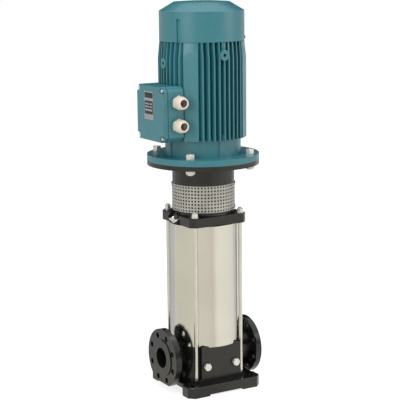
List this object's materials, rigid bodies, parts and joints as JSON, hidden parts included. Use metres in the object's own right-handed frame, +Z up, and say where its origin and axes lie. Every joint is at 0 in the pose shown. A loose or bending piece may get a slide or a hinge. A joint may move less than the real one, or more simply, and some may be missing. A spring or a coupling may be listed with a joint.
{
  "type": "vertical multistage pump",
  "caption": "Vertical inline multistage centrifugal pump with flanged ports in line at the base, a steel sleeve held by tie rods, a guarded coupling and a finned electric motor on top.",
  "frame": {"origin": "on the shaft axis at the level of the floor, which is the centre of the foot bolt pattern", "axes": "+Z up along the shaft, suction port towards -X, discharge port towards +X, drain plugs towards -Y"},
  "size_m": [0.361, 0.35, 1.2179],
  "materials": {
    "cast_black": "glossy black paint on casting",
    "teal_paint": "satin teal enamel",
    "stainless": "polished stainless",
    "zinc_steel": "zinc plated",
    "chrome_plug": "polished",
    "guard_steel": "matt stainless sheet",
    "inner_steel": "pressed stainless",
    "seal_rubber": "moulded",
    "seal_carbide": "lapped carbide",
    "coupling_iron": "machined",
    "lamination": "stacked sheet",
    "copper_winding": "varnished wire",
    "fan_plastic": "moulded",
    "gland_plastic": "moulded polyamide",
    "board_plastic": "moulded",
    "plate_sheet": "printed sheet"
  },
  "bodies": {
    "housing": {"pump_base": "cast_black", "pump_head": "cast_black", "lantern": "cast_black", "motor_end_shield": "teal_paint", "motor_frame": "teal_paint", "fan_end_shield": "teal_paint", "fan_cowl": "teal_paint", "terminal_box": "teal_paint", "box_cover": "teal_paint", "cowl_screws": "teal_paint", "outer_sleeve": "stainless", "tie_rods": "stainless", "tie_rod_nuts": "zinc_steel", "drain_plugs": "zinc_steel", "head_screws": "zinc_steel", "flange_bolts": "zinc_steel", "flange_nuts": "zinc_steel", "guard_screws": "zinc_steel", "box_cover_screws": "zinc_steel", "bearing_outer_rings": "zinc_steel", "bearing_balls": "zinc_steel", "fill_plug": "chrome_plug", "coupling_guards": "guard_steel", "inlet_chamber": "inner_steel", "discharge_chamber": "inner_steel", "wear_rings": "inner_steel", "seal_cover": "inner_steel", "clamp_spring": "inner_steel", "stage_casing_1": "inner_steel", "stage_casing_2": "inner_steel", "stage_casing_3": "inner_steel", "stage_casing_4": "inner_steel", "stage_casing_5": "inner_steel", "plug_seals": "seal_rubber", "sleeve_o_rings": "seal_rubber", "box_gasket": "seal_rubber", "gland_seals": "seal_rubber", "seal_seat": "seal_carbide", "lower_bearing_bush": "seal_carbide", "stator_core": "lamination", "stator_winding": "copper_winding", "gland_bodies": "gland_plastic", "gland_nuts": "gland_plastic", "terminal_board": "board_plastic", "nameplate": "plate_sheet"},
    "rotor": {"pump_shaft": "inner_steel", "spacer_sleeves": "inner_steel", "seal_rotating_ring": "seal_carbide", "seal_spring": "inner_steel", "coupling_halves": "coupling_iron", "coupling_screws": "zinc_steel", "motor_shaft": "zinc_steel", "rotor_core": "lamination", "bearing_inner_rings": "zinc_steel", "cooling_fan": "fan_plastic", "impeller_1": "inner_steel", "impeller_2": "inner_steel", "impeller_3": "inner_steel", "impeller_4": "inner_steel", "impeller_5": "inner_steel"}
  },
  "joints": [
    {"name": "shaft_spin", "type": "hinge", "parent": "housing", "child": "rotor", "pos_m": [0, 0, 0.4], "axis": [0, 0, 1], "continuous": true}
  ]
}
